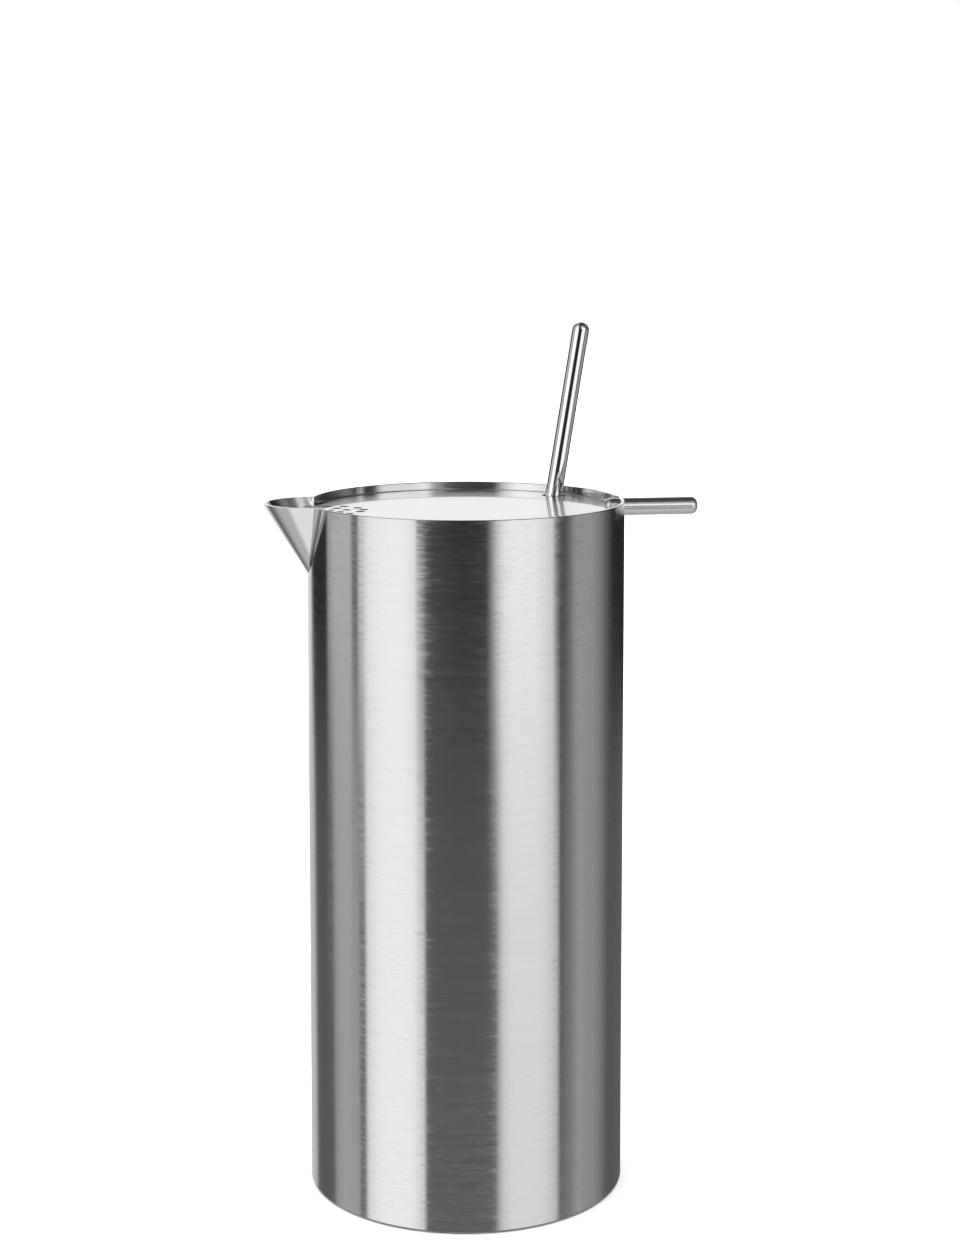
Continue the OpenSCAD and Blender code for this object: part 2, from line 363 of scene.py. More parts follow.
class SharedEffect:
    """A node group that several finishes use, built once."""

    def __init__(self, name: str, inputs: Sequence[str], outputs: Sequence[str]) -> None:
        """Opens an empty group with its named sockets.

        Args:
            name: Name of the group.
            inputs: Names of its inputs. All are numbers but the one named Vector.
            outputs: Names of its outputs, all numbers.
        """
        self.tree = bpy.data.node_groups.new(name, "ShaderNodeTree")
        self.wiring = Wiring(self.tree)
        for labels, way in ((inputs, "INPUT"), (outputs, "OUTPUT")):
            for label in labels:
                kind = "NodeSocketVector" if label == "Vector" else "NodeSocketFloat"
                self.tree.interface.new_socket(name=label, in_out=way, socket_type=kind)
        self.entry = self.wiring.add("NodeGroupInput").outputs
        self.exit = self.wiring.add("NodeGroupOutput").inputs

    def give(self, name: str, value: bpy.types.NodeSocket) -> None:
        """Joins a result to one of the group's outputs."""
        self.tree.links.new(value, self.exit[name])

    def place(self, wiring: Wiring, sockets: dict[str, Any]) -> bpy.types.Node:
        """Puts the group in a material with its own values, and returns its node."""
        return wiring.add("Group", sockets, node_tree=self.tree)


class Effects:
    """The effects that the steel finishes share."""

    def __init__(self) -> None:
        """Builds each group."""
        self.lines = self._brushed_lines()
        self.marks = self._handling_marks()
        self.edges = self._edge_polish()

    def _brushed_lines(self) -> SharedEffect:
        """Fine lines that run round the turning axis.

        Returns:
            The group, with the lines' height, the tone of the broader streaks and single short scratches.
        """
        group = SharedEffect("Brushed lines", ("Vector", "Pitch", "Length", "Streak"),
                             ("Height", "Tone", "Dash"))
        w = group.wiring
        x, y, z = w.add("SeparateXYZ", {0: group.entry["Vector"]}).outputs
        along = w.math("ADD", z, w.reach(x, y))
        around = [w.times(place, group.entry["Length"]) for place in (x, y)]

        def noise(shorter: float, rise: Any, detail: float, roughness: float) -> bpy.types.NodeSocket:
            """Draws marks that run round the axis, so many times shorter than the finish's lines."""
            ends = [w.times(place, shorter) for place in around]
            return w.add("TexNoise", {
                "Vector": w.add("CombineXYZ", dict(enumerate([*ends, rise]))).outputs[0], "Scale": 1.0,
                "Detail": detail, "Roughness": roughness}).outputs["Fac"]

        line = w.times(along, group.entry["Pitch"])
        group.give("Height", noise(1.0, line, 3.0, 0.62))
        group.give("Tone", noise(0.35, w.times(along, group.entry["Streak"]), 4.0, 0.6))
        group.give("Dash", w.ramp(noise(3.0, w.times(line, 0.7), 2.0, 0.5), 0.48, 0.74, 0.0, 1.0))
        return group

    def _handling_marks(self) -> SharedEffect:
        """Faint clouds where hands and cloths have been.

        Returns:
            The group, with one mask.
        """
        group = SharedEffect("Handling marks", ("Vector", "Size"), ("Mask",))
        w = group.wiring
        scale = w.math("DIVIDE", 1.0, group.entry["Size"])
        cloud = w.add("TexNoise", {"Vector": group.entry["Vector"], "Scale": scale, "Detail": 5.0,
                                   "Roughness": 0.55, "Distortion": 0.6})
        group.give("Mask", w.ramp(cloud.outputs["Fac"], 0.42, 0.72, 0.0, 1.0, smooth=True))
        return group

    def _edge_polish(self) -> SharedEffect:
        """Edges that use has rubbed bright.

        Returns:
            The group, with one mask.
        """
        group = SharedEffect("Edge polish", ("Start", "End"), ("Mask",))
        sharpness = group.wiring.add("NewGeometry").outputs["Pointiness"]
        group.give("Mask", group.wiring.ramp(sharpness, group.entry["Start"], group.entry["End"], 0.0, 1.0))
        return group


@dataclass(frozen=True)
class SteelFinish:
    """How a steel surface is worked, and what it then looks like. Lengths are in millimetres.

    Within the radius of inside it has its own roughness. Below the height of foot its colour is darkened, a
    painted shade for the contact shadow there, and the upright walls of holes within the radius of punched
    are darkened, a painted shade for the holes' dark insides. A zero leaves each of these out.
    """

    name: str
    tone: float
    roughness: float
    streak_roughness: float = 0.02
    anisotropy: float = 0.0
    line_pitch: float = 0.3
    line_length: float = 2.5
    line_depth: float = 0.00005
    tone_spread: float = 0.01
    marks: float = 0.02
    gloss: float = 0.0
    rubbed: float = 1.0
    scratches: float = 0.0
    inside: float = 0.0
    inside_roughness: float = 0.0
    foot: float = 0.0
    punched: float = 0.0
    turned_about: Matrix = UPRIGHT
    streak_share: float = 0.22
    mark_size: float = 26.0
    edge_range: Point = (0.53, 0.6)
    edge_smoothing: float = 0.3
    edge_light: float = 0.08
    scratch_shade: float = 0.2
    cool: float = 1.004
    # The next three set the painted shade: how far it fades above the foot, how dark it is at the foot, and
    # how dark the holes' walls are.
    foot_fade: float = 0.1
    foot_shade: float = 0.4
    hole_shade: float = 0.16
    coat_roughness: float = 0.03

    def material(self, effects: Effects) -> bpy.types.Material:
        """Builds the material.

        Args:
            effects: The shared groups.

        Returns:
            The material, with its pattern on Object coordinates.
        """
        steel = bpy.data.materials.new(self.name)
        steel.use_nodes = True
        w = Wiring(steel.node_tree)
        turn = self.turned_about.inverted()
        place = w.add("Mapping", {"Vector": w.add("TexCoord").outputs["Object"],
                                  "Location": turn.to_translation(), "Rotation": turn.to_euler()}).outputs[0]
        pitch, length = self.line_pitch * MM, self.line_length * MM
        lines = effects.lines.place(w, {"Vector": place, "Pitch": 1 / pitch, "Length": 1 / length,
                                        "Streak": self.streak_share / pitch}).outputs
        marks = effects.marks.place(w, {"Vector": place, "Size": self.mark_size * MM}).outputs["Mask"]
        start, end = self.edge_range
        edges = effects.edges.place(w, {"Start": start, "End": end}).outputs["Mask"]
        x, y, z = w.add("SeparateXYZ", {0: place}).outputs
        radius = w.reach(x, y)

        roughness = w.ramp(lines["Tone"], 0.3, 0.7, self.roughness - self.streak_roughness,
                           self.roughness + self.streak_roughness)
        roughness = w.math("MULTIPLY_ADD", lines["Dash"], self.scratches, roughness)
        if self.inside:
            within = w.math("LESS_THAN", radius, self.inside * MM)
            roughness = w.blend(within, roughness, self.inside_roughness)
        roughness = w.math("MULTIPLY_ADD", marks, self.marks, roughness)
        smoothing = -self.edge_smoothing * self.rubbed * self.roughness
        roughness = w.math("MULTIPLY_ADD", edges, smoothing, roughness)

        low, high = self.tone * (1 - self.tone_spread), self.tone * (1 + self.tone_spread)
        tone = w.ramp(lines["Tone"], 0.25, 0.75, low, high)
        tone = w.math("MULTIPLY_ADD", edges, self.edge_light * self.rubbed, tone)
        tone = w.math("MULTIPLY_ADD", lines["Dash"], -self.scratch_shade * self.scratches, tone)
        # Painted shade: the upright walls of holes within the punched radius are darkened, standing in for
        # the shade inside the holes.
        if self.punched:
            facing_up = w.add("SeparateXYZ", {0: w.add("NewGeometry").outputs["Normal"]}).outputs[2]
            upright = w.math("LESS_THAN", w.math("ABSOLUTE", facing_up), 0.5)
            hole = w.times(upright, w.math("LESS_THAN", radius, self.punched * MM))
            tone = w.times(tone, w.ramp(hole, 0.0, 1.0, 1.0, self.hole_shade))
        # Painted shade: below the foot's height the colour is darkened, standing in for the contact shadow
        # that the foot's bevel would reflect.
        if self.foot:
            shade = w.ramp(z, self.foot * MM, (self.foot + self.foot_fade) * MM, self.foot_shade, 1.0)
            tone = w.times(tone, shade)
        colour = w.add("CombineColor", {0: tone, 1: tone, 2: w.times(tone, self.cool)})

        bump = w.add("Bump", {"Strength": 1.0, "Distance": self.line_depth * MM, "Height": lines["Height"]})
        tangent = w.add("Tangent", direction_type="UV_MAP", uv_map=TURNING_MAP)
        shader = w.add("BsdfPrincipled", {
            "Base Color": colour.outputs[0], "Metallic": 1.0, "Roughness": roughness,
            "Anisotropic": self.anisotropy, "Anisotropic Rotation": 0.25, "Tangent": tangent.outputs[0],
            "Coat Weight": self.gloss, "Coat Roughness": self.coat_roughness, "Normal": bump.outputs[0]})
        w.add("OutputMaterial", {"Surface": shader.outputs[0]})
        return steel


def dress(piece: bpy.types.Object, material: bpy.types.Material, body: Body, node: str) -> None:
    """Gives a piece its finish and its place in the frame.

    Args:
        piece: The finished piece.
        material: Its material.
        body: Body that it moves with.
        node: CAD node that it stands for.
    """
    piece.data.materials.clear()
    piece.data.materials.append(material)
    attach(piece, body.value)
    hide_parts(node)
    LOG.info("%s: %d faces, on %s, for %s", piece.name, len(piece.data.polygons), body.value, node)


# The jug


@dataclass(frozen=True)
class SpoutCone:
    """The leaning cone that the spout is part of. Its lip, its point and its back fix it."""

    lip_x: float
    back_x: float
    point_x: float
    point_z: float
    rim_z: float

    @property
    def height(self) -> float:
        """Height from the point to the rim."""
        return self.rim_z - self.point_z

    @property
    def front_angle(self) -> float:
        """Angle of the front line from upright, in radians."""
        return math.atan((self.point_x - self.lip_x) / self.height)

    @property
    def back_angle(self) -> float:
        """Angle of the back line from upright, in radians."""
        return math.atan((self.back_x - self.point_x) / self.height)

    @property
    def lean(self) -> float:
        """Lean of the cone's axis, in radians."""
        return (self.back_angle - self.front_angle) / 2

    @property
    def half_angle(self) -> float:
        """Half of the cone's opening, in radians."""
        return (self.back_angle + self.front_angle) / 2

    @property
    def axis(self) -> Matrix:
        """Frame at the point, with +Z along the cone's axis."""
        place = Matrix.Translation(Vector((self.point_x, 0, self.point_z)) * MM)
        return place @ Matrix.Rotation(self.lean, 4, "Y")

    @property
    def width_share(self) -> float:
        """Half width of a level cut for each millimetre above the point."""
        slope = math.cos(self.half_angle) ** 2 - math.sin(self.lean) ** 2
        return math.sin(self.half_angle) / math.sqrt(slope)

    @property
    def length_share(self) -> float:
        """Half length of a level cut for each millimetre above the point."""
        return (self.back_x - self.lip_x) / 2 / self.height

    @property
    def middle_share(self) -> float:
        """How far the middle of a level cut moves back for each millimetre above the point."""
        return (self.back_x + self.lip_x - 2 * self.point_x) / 2 / self.height

    def solid(self, inset: float) -> Blank:
        """Makes the cone as a tool.

        Args:
            inset: How far its side is drawn in.

        Returns:
            The cone, past the rim.
        """
        widest = max(self.front_angle, self.back_angle)
        length = (self.height + 2 * CLEAR) * math.cos(self.half_angle) / math.cos(widest)
        section = [(0, 0), (length * math.tan(self.half_angle), length), (0, length)]
        lift = Matrix.Translation((0, 0, inset * MM / math.sin(self.half_angle)))
        return Blank("cone", turned(section, False, CUTTER_STEPS), self.axis @ lift)


@dataclass(frozen=True)
class Jug:
    """The straight jug: its wall, base pan, spout, brazed seam and seat ring."""

    radius: float = 45.0
    height: float = 197.4
    wall: float = 1.0
    wall_rounding: float = 0.06
    foot_bevel: float = 0.5
    foot_lift: float = 0.02
    rim_bevel: float = 0.15
    pan: float = 1.5
    pan_rounding: float = 0.12
    pan_height: float = 7.0
    pan_bend: float = 2.5
    pan_fold: float = 0.6
    pan_gap: float = 0.02
    lip_reach: float = 12.5
    spout_height: float = 20.2
    mouth_length: float = 29.0
    spout_sheet: float = 1.0
    spout_rounding: float = 0.1
    point_sink: float = 10.0
    seam_radius: float = 2.5
    seam_foot_radius: float = 1.5
    seam_gap: float = 0.04
    seam_root: float = 0.38
    seam_levels: int = 48
    seam_arc: int = 10
    ring_width: float = 1.6
    ring_sheet: float = 1.2
    ring_top: float = 189.1
    ring_rounding: float = 0.08
    notch_radius: float = 2.8
    notch_height: float = 194.6
    notch_end: float = 0.01
    notch_steps: int = 64

    @property
    def bore(self) -> float:
        """Inside radius of the wall."""
        return self.radius - self.wall

    @property
    def cone(self) -> SpoutCone:
        """The cone of the spout.

        Returns:
            The cone whose front line leaves the wall at the spout's foot.
        """
        lip = -(self.radius + self.lip_reach)
        rise = (self.lip_reach + self.point_sink) * self.spout_height / self.lip_reach
        return SpoutCone(lip, lip + self.mouth_length, self.point_sink - self.radius, self.height - rise,
                         self.height)

    def body_wall(self) -> bpy.types.Object:
        """Builds the wall, open at the spout and notched for the peg.

        Returns:
            The finished wall.
        """
        r, bore, top, rim = self.radius, self.bore, self.height, self.rim_bevel
        section = [(bore, self.foot_lift), (r - self.foot_bevel, self.foot_lift), (r, self.foot_bevel),
                   (r, top - rim), (r - rim, top), (bore + rim, top), (bore, top - rim)]
        wall = Blank("jug_wall", turned(section, True))
        wall.cut(Cut.TAKE, self.cone.solid(self.spout_sheet))
        notch = rod(self.wall + 2 * CLEAR, self.notch_radius, 0, self.notch_end, self.notch_steps)
        wall.cut(Cut.TAKE, Blank("notch", notch, lying(bore - CLEAR, self.notch_height)))
        slot = block((bore - CLEAR, -self.notch_radius, self.notch_height),
                     (r + CLEAR, self.notch_radius, top + CLEAR))
        return wall.cut(Cut.TAKE, Blank("slot", slot)).soften(self.wall_rounding).finish()

    def base_pan(self) -> bpy.types.Object:
        """Builds the pressed pan that closes the foot.

        Returns:
            The finished pan.
        """
        outer, inner = self.bore - self.pan_gap, self.bore - self.pan
        fold, bend = self.pan_fold, self.pan_bend
        section = [(0.0, 0.0)] + arc((outer - fold, fold), fold, -90, 0, BEND_STEPS // 2)
        section += [(outer, self.pan_height), (inner, self.pan_height)]
        section += arc((inner - bend, self.pan + bend), bend, 0, -90, BEND_STEPS)
        pan = Blank("base_pan_sheet", turned(section + [(0.0, self.pan)], False))
        return pan.soften(self.pan_rounding).finish()

    def spout(self) -> bpy.types.Object:
        """Builds the open half cone outside the wall, level with the rim.

        Returns:
            The finished spout.
        """
        shell = self.cone.solid(0).cut(Cut.TAKE, self.cone.solid(self.spout_sheet))
        shell.piece.name = "pouring_spout"
        shell.cut(Cut.TAKE, Blank("core", disc(self.radius, 0, self.height + FAR)))
        above = block((-2 * FAR, -2 * FAR, self.height), (2 * FAR, 2 * FAR, self.height + 2 * FAR))
        return shell.cut(Cut.TAKE, Blank("above", above)).soften(self.spout_rounding).finish(self.cone.axis)

    def _seam_outline(self, share: float) -> list[Vector]:
        """Works out the seam's outline at one level.

        Args:
            share: Height above the spout's point as a share of the spout's.

        Returns:
            Points from the corner of the two sheets round the fillet and back.
        """
        rise = self.cone.height - (1 - share) * self.spout_height
        middle = Vector((self.cone.point_x + self.cone.middle_share * rise, 0.0))
        wall_r = self.radius + self.seam_gap
        narrow = self.cone.width_share * rise
        fillet = self.seam_foot_radius + (self.seam_radius - self.seam_foot_radius) * share ** 3

        def crossing(first: float, second: float) -> Vector:
            """Finds where a circle about the jug's axis crosses one about the spout's middle."""
            x = (first ** 2 - second ** 2 + middle.x ** 2) / (2 * middle.x)
            return Vector((x, math.sqrt(first ** 2 - x ** 2)))

        forward = (crossing(wall_r, narrow + self.seam_gap).x - middle.x) / narrow
        spout_r = narrow + (self.cone.length_share * rise - narrow) * forward ** 2 + self.seam_gap
        corner, centre = crossing(wall_r, spout_r), crossing(wall_r + fillet, spout_r + fillet)
        wall_end = centre.normalized() * wall_r
        spout_end = middle + (centre - middle).normalized() * spout_r
        first = math.atan2(*(wall_end - centre).yx)
        swing = math.remainder(math.atan2(*(spout_end - centre).yx) - first, 2 * math.pi)
        curve = [centre + Vector((math.cos(a), math.sin(a))) * fillet
                 for a in (first + swing * i / self.seam_arc for i in range(self.seam_arc + 1))]
        return [corner, (corner + wall_end).normalized() * wall_r, *curve,
                middle + ((corner + spout_end) / 2 - middle).normalized() * spout_r]

    def spout_seam(self) -> bpy.types.Object:
        """Builds the brazed fillet on both sides of the spout, bridged from level to level.

        Returns:
            The finished seam.
        """
        bm = bmesh.new()
        rings: list[list[bmesh.types.BMEdge]] = []
        for level in range(self.seam_levels + 1):
            share = (self.seam_root + (1 - self.seam_root) * level / self.seam_levels) ** 2
            height = self.height - (1 - share) * self.spout_height
            ring = [bm.verts.new(Vector((p.x, p.y, height)) * MM) for p in self._seam_outline(share)]
            rings.append([bm.edges.new(pair) for pair in zip(ring, ring[1:] + ring[:1])])
        for below, above in zip(rings, rings[1:]):
            bmesh.ops.bridge_loops(bm, edges=below + above)
        for end in (rings[0], rings[-1]):
            bmesh.ops.contextual_create(bm, geom=end)
        twin = bmesh.ops.duplicate(bm, geom=bm.verts[:] + bm.edges[:] + bm.faces[:])["geom"]
        bmesh.ops.scale(bm, vec=(1, -1, 1), verts=[v for v in twin if isinstance(v, bmesh.types.BMVert)])
        bmesh.ops.recalc_face_normals(bm, faces=bm.faces[:])
        return Blank("brazed_seam", bm).finish()

    def seat_ring(self) -> bpy.types.Object:
        """Builds the flat ring that the lid rests on, open at the spout.

        Returns:
            The finished ring.
        """
        low, high = self.ring_top - self.ring_sheet, self.ring_top
        outer, inner = self.bore, self.bore - self.ring_width
        section = [(inner, low), (outer, low), (outer, high), (inner, high)]
        ring = Blank("seat_ring_band", turned(section, True))
        return ring.cut(Cut.TAKE, self.cone.solid(self.spout_sheet)).soften(self.ring_rounding).finish()


# The lid


@dataclass(frozen=True)
class StrainerLid:
    """The sunk lid with its strainer holes, and the peg that lifts it."""

    jug: Jug
    drop: float = 2.3
    sheet: float = 1.0
    gap: float = 0.4
    rounding: float = 0.07
    edge_height: float = 5.0
    bend: float = 1.3
    tongue_reach: float = 1.4
    hole: float = 2.7
    hole_steps: int = 40
    hole_margin: float = 0.3
    pitch: float = 4.8
    row_step: float = 4.1
    inset: float = 5.3
    peg: float = 5.0
    peg_reach: float = 22.2
    peg_inset: float = 4.0
    peg_round: float = 1.9
    peg_gap: float = 0.02
    spoon_hole: float = 6.4
    spoon_hole_steps: int = 72
    spoon_hole_inset: float = 5.2
    spoon_hole_turn: float = 40.5
    middle_row: tuple[float, ...] = (0, 1, 2)
    side_holes: tuple[Point, ...] = ((-0.53, 1), (0.5, 1), (1.72, 1), (-1.06, 1.66), (0, 2), (1, 1.93))

    @property
    def radius(self) -> float:
        """Outside radius of the lid."""
        return self.jug.bore - self.gap

    @property
    def top(self) -> float:
        """Height of the lid's face."""
        return self.jug.height - self.drop

    @property
    def edge_low(self) -> float:
        """Height of the lower end of the turned-down edge."""
        return self.top - self.sheet - self.edge_height

    @property
    def spoon_hole_place(self) -> Point:
        """Middle of the spoon's hole."""
        reach, turn = self.jug.bore - self.spoon_hole_inset, math.radians(self.spoon_hole_turn)
        return reach * math.cos(turn), reach * math.sin(turn)

    @property
    def peg_lie(self) -> Matrix:
        """Frame at the peg's inner end, with +Z along the peg."""
        return lying(self.jug.bore - self.peg_inset, self.top - self.sheet / 2)

    def _peg_shape(self, spare: float) -> bmesh.types.BMesh:
        """Turns the peg, wider by a spare amount on each side."""
        length = self.jug.wall + self.peg_inset + self.peg_reach
        return rod(length, self.peg / 2 + spare, self.peg_round, self.peg_round)

    def _punch(self, place: Point, diameter: float, steps: int) -> Blank:
        """Makes a round tool through the sheet."""
        shape = disc(diameter / 2, self.top - self.sheet - CLEAR, self.top + CLEAR, steps)
        return Blank("punch", shape, Matrix.Translation((place[0] * MM, place[1] * MM, 0)))

    def strainer_places(self) -> list[Point]:
        """Lists the strainer holes' middles, those of the middle row first and then the pairs beside it."""
        places = [*((x, 0.0) for x in self.middle_row),
                  *((x, y * side) for x, y in self.side_holes for side in (-1, 1))]
        return [(self.inset - self.jug.bore + x * self.pitch, y * self.row_step) for x, y in places]

    def strainer_lid(self) -> bpy.types.Object:
        """Builds the pressed lid with its tongue, its holes and the peg's seat.

        Returns:
            The finished lid.
        """
        cone, r, bend, top, low = self.jug.cone, self.radius, self.bend, self.top, self.top - self.sheet
        section: list[Point] = [(0, low)]
        section += arc((r - bend, top - bend), bend - self.sheet, 90, 0, BEND_STEPS * 2 // 3)
        section += [(r - self.sheet, self.edge_low), (r, self.edge_low)]
        section += arc((r - bend, top - bend), bend, 0, 90, BEND_STEPS) + [(0, top)]
        lid = Blank("strainer_lid_sheet", turned(section, False))
        half = cone.width_share * (cone.height - self.drop)
        window = block((-r - CLEAR, -half, self.edge_low - CLEAR), (-r / 2, half, low))
        lid.cut(Cut.TAKE, Blank("window", window))
        tongue = Blank("tongue", disc(self.jug.radius + self.tongue_reach, low, top))
        lid.cut(Cut.ADD, tongue.cut(Cut.KEEP, cone.solid(self.jug.spout_sheet + self.gap)))
        for place in self.strainer_places():
            lid.cut(Cut.TAKE, self._punch(place, self.hole, self.hole_steps))
        lid.cut(Cut.TAKE, self._punch(self.spoon_hole_place, self.spoon_hole, self.spoon_hole_steps))
        lid.cut(Cut.TAKE, Blank("seat", self._peg_shape(self.peg_gap), self.peg_lie))
        return lid.soften(self.rounding).finish()

    def lid_peg(self) -> bpy.types.Object:
        """Builds the peg that lies in the notch of the rim."""
        return Blank("lifting_peg", self._peg_shape(0), self.peg_lie).finish(self.peg_lie)


# The spoon


@dataclass(frozen=True)
class MixingSpoon:
    """The spoon that leans out through the lid."""

    jug: Jug
    lid: StrainerLid
    stem: float = 5.0
    stem_rise: float = 48.8
    lean: float = 9.15
    stem_round: float = 2.3
    stem_shift: float = 0.27
    stem_steps: int = 128
    bowl_length: float = 36.0
    bowl_width: float = 22.0
    bowl_depth: float = 5.0
    bowl_sheet: float = 1.0
    bowl_rounding: float = 0.3
    bowl_gap: float = 0.3
    neck_length: float = 8.0
    neck_flare: float = 0.8
    neck_root: float = 7.2
    dome: float = 25.0
    dome_steps: tuple[int, int] = (128, 96)

    @property
    def stand(self) -> Matrix:
        """Frame in the middle of the bowl, with +Z along the stem.

        Returns:
            The frame, which stands the bowl just above the pan and leads the stem through the lid's hole.
        """
        turn = math.radians(self.lean)
        down = math.hypot(self.bowl_length / 2 * math.cos(turn), self.bowl_width / 2 * math.sin(turn))
        z = self.jug.pan + self.bowl_gap + down
        hole_x, hole_y = self.lid.spoon_hole_place
        x = hole_x + self.stem_shift - (self.lid.top - z) * math.tan(turn)
        return Matrix.Translation(Vector((x, hole_y, z)) * MM) @ Matrix.Rotation(turn, 4, "Y")

    @property
    def neck_end(self) -> float:
        """Where the stem starts above the middle of the bowl."""
        return self.bowl_length / 2 + self.neck_length

    def spoon_stem(self) -> bpy.types.Object:
        """Builds the round stem up to its rounded top.

        Returns:
            The finished stem.
        """
        low = self.stand.translation.z / MM
        top = (self.jug.height + self.stem_rise - low) / math.cos(math.radians(self.lean))
        shape = rod(top - self.neck_end, self.stem / 2, 0, self.stem_round, self.stem_steps)
        place = self.stand @ Matrix.Translation((0, 0, self.neck_end * MM))
        return Blank("mixing_stem", shape, place).finish(self.stand)

    def _dome(self, inset: float, keep: float) -> bmesh.types.BMesh:
        """Shapes a cap of an oval dome.

        Args:
            inset: How far its surface is drawn in.
            keep: Height above the dome's middle from which it is kept.

        Returns:
            The closed cap, bulging towards +Y, with its flat side at the bowl's rim.
        """
        share = math.sqrt(1 - (1 - self.bowl_depth / self.dome) ** 2)
        axes = [self.bowl_width / 2 / share, self.bowl_length / 2 / share, self.dome]
        axes = [(axis - inset) * MM for axis in axes]
        bm = bmesh.new()
        around, upwards = self.dome_steps
        bmesh.ops.create_uvsphere(bm, u_segments=around, v_segments=upwards, radius=1.0)
        level = keep * MM / axes[2]
        cut = bmesh.ops.bisect_plane(bm, geom=bm.verts[:] + bm.edges[:] + bm.faces[:], dist=1e-7,
                                     plane_co=(0, 0, level), plane_no=(0, 0, 1), clear_inner=True)
        rim = [edge for edge in cut["geom_cut"] if isinstance(edge, bmesh.types.BMEdge)]
        bmesh.ops.contextual_create(bm, geom=rim)
        bmesh.ops.scale(bm, vec=axes, verts=bm.verts[:])
        sink = Matrix.Translation((0, (self.bowl_depth - self.dome) * MM, 0))
        bm.transform(sink @ Matrix.Rotation(-math.pi / 2, 4, "X"))
        bmesh.ops.recalc_face_normals(bm, faces=bm.faces[:])
        return bm

    def spoon_bowl(self) -> bpy.types.Object:
        """Builds the dished bowl and the neck that takes the stem.

        Returns:
            The finished bowl.
        """
        level = self.dome - self.bowl_depth
        bowl = Blank("mixing_bowl", self._dome(0, level), self.stand)
        wide, start = self.stem / 2 + self.neck_flare, self.bowl_length / 2 - self.neck_root
        section = [(0, start), (wide, start), (self.stem / 2, self.neck_end), (0, self.neck_end)]
        bowl.cut(Cut.ADD, Blank("neck", turned(section, False, ROD_STEPS), self.stand))
        bowl.cut(Cut.TAKE, Blank("hollow", self._dome(self.bowl_sheet, level - 4 * CLEAR), self.stand))
        return bowl.soften(self.bowl_rounding).finish(self.stand)


# The studio


@dataclass(frozen=True)
class Strip:
    """An upright strip of light round the object, seen from above.

    Angles are in degrees from the camera. The shares dim the strip near the table, at the height of the jug,
    a little above it and higher up.
    """

    start: float
    end: float
    brightness: float
    start_feather: float
    end_feather: float
    shares: tuple[float, float, float, float]


@dataclass(frozen=True)
class SoftBox:
    """A small soft box high up in front, with its middle in degrees from the camera."""

    middle: float
    half_width: float
    low: float
    high: float
    brightness: float
    feather: float = 4.0
    end_feather: float = 2.0


